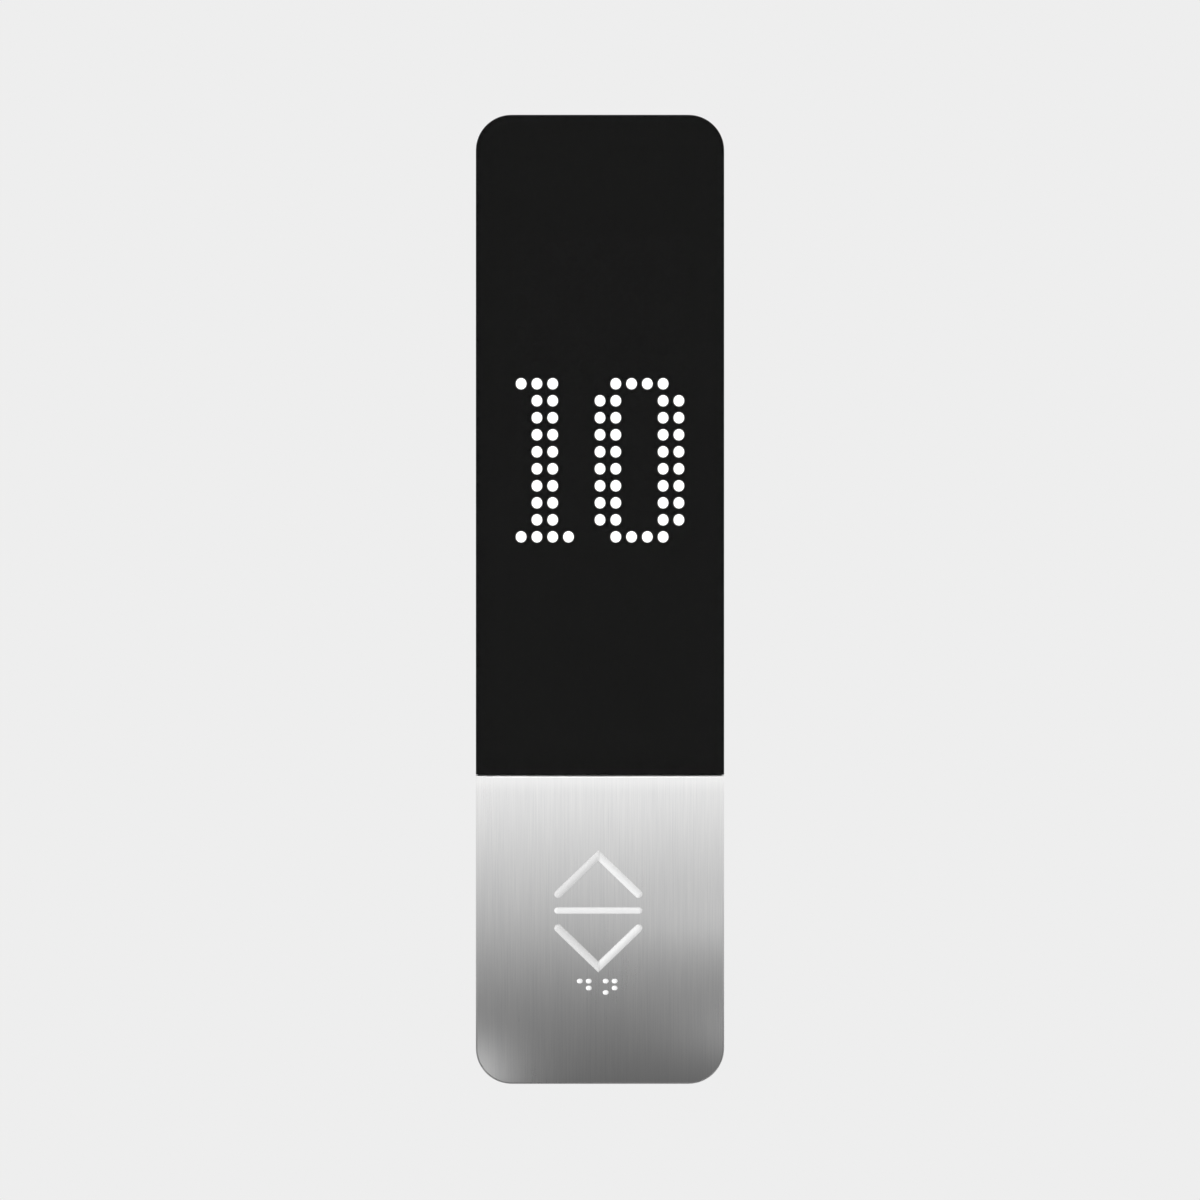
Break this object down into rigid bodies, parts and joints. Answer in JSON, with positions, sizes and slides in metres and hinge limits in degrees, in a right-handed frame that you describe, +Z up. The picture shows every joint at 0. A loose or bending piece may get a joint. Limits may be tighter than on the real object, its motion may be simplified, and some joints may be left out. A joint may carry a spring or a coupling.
{
  "type": "lift landing control panel",
  "caption": "Slim wall-mounted lift call panel: dot matrix behind black glass above two raised chevron call keys in a brushed steel cover.",
  "frame": {"origin": "centre of the rear face of the wall plate, where it lies on the wall", "axes": "+Z up along the panel's length, +X to the right seen from the front, +Y into the wall, so the front faces -Y"},
  "size_m": [0.072, 0.0193, 0.281],
  "materials": {
    "galvanised_steel": "galvanised sheet",
    "black_rubber": "matt",
    "zinc_screw": "zinc plated",
    "housing_plastic": "fine moulded texture",
    "smoked_glass": "polished, dark tint",
    "black_print": "matt screen print",
    "foam_tape": "matt foam",
    "brushed_cover": "vertical brushed grain",
    "board_green": "solder mask",
    "led_white": "moulded with a yellow phosphor window",
    "well_black": "matt",
    "dot_lit": "diffusing, lit from behind",
    "dot_dark": "diffusing, unlit",
    "chip_black": "matt moulded",
    "capacitor_can": "drawn can",
    "connector_ivory": "moulded",
    "flat_cable": "polyester film over flat conductors",
    "frame_black": "moulded",
    "pearl_white": "satin, pearly",
    "carrier_white": "moulded, milky",
    "terminal_green": "moulded",
    "switch_black": "moulded",
    "plunger_red": "moulded",
    "spring_steel": "bright drawn wire"
  },
  "bodies": {
    "wall_mount": {"wall_plate": "galvanised_steel", "cable_grommet": "black_rubber", "clamp_screw": "zinc_screw"},
    "front": {"housing": "housing_plastic", "front_glass": "smoked_glass", "glass_print": "black_print", "glass_tape": "foam_tape", "steel_cover": "brushed_cover", "cover_gasket": "foam_tape", "cover_nuts": "zinc_screw", "display_board": "board_green", "display_leds": "led_white", "light_wells": "well_black", "lit_dots": "dot_lit", "dark_dots": "dot_dark", "controller_chip": "chip_black", "driver_chips": "chip_black", "capacitors": "capacitor_can", "buzzer": "chip_black", "link_connectors": "connector_ivory", "link_cable": "flat_cable", "key_board": "board_green", "key_leds": "led_white", "key_frame": "frame_black", "bar_lens": "pearl_white", "raised_dots": "pearl_white", "bus_terminal": "terminal_green", "terminal_screws": "zinc_screw", "board_screws": "zinc_screw", "up_switch": "switch_black", "down_switch": "switch_black"},
    "up_key": {"up_chevron": "pearl_white", "up_carrier": "carrier_white", "up_plunger": "plunger_red", "up_springs": "spring_steel"},
    "down_key": {"down_chevron": "pearl_white", "down_carrier": "carrier_white", "down_plunger": "plunger_red", "down_springs": "spring_steel"}
  },
  "joints": [
    {"name": "front_tilt", "type": "hinge", "parent": "wall_mount", "child": "front", "pos_m": [0, -0.0031, 0.129], "axis": [-1, 0, 0], "range_deg": [0, 10]},
    {"name": "up_press", "type": "slide", "parent": "front", "child": "up_key", "axis": [0, 1, 0], "range_m": [0, 0.0008], "stiffness_N_per_m": 1500, "springref_m": -0.001, "deforming": ["up_springs"]},
    {"name": "down_press", "type": "slide", "parent": "front", "child": "down_key", "axis": [0, 1, 0], "range_m": [0, 0.0008], "stiffness_N_per_m": 1500, "springref_m": -0.001, "deforming": ["down_springs"]}
  ]
}
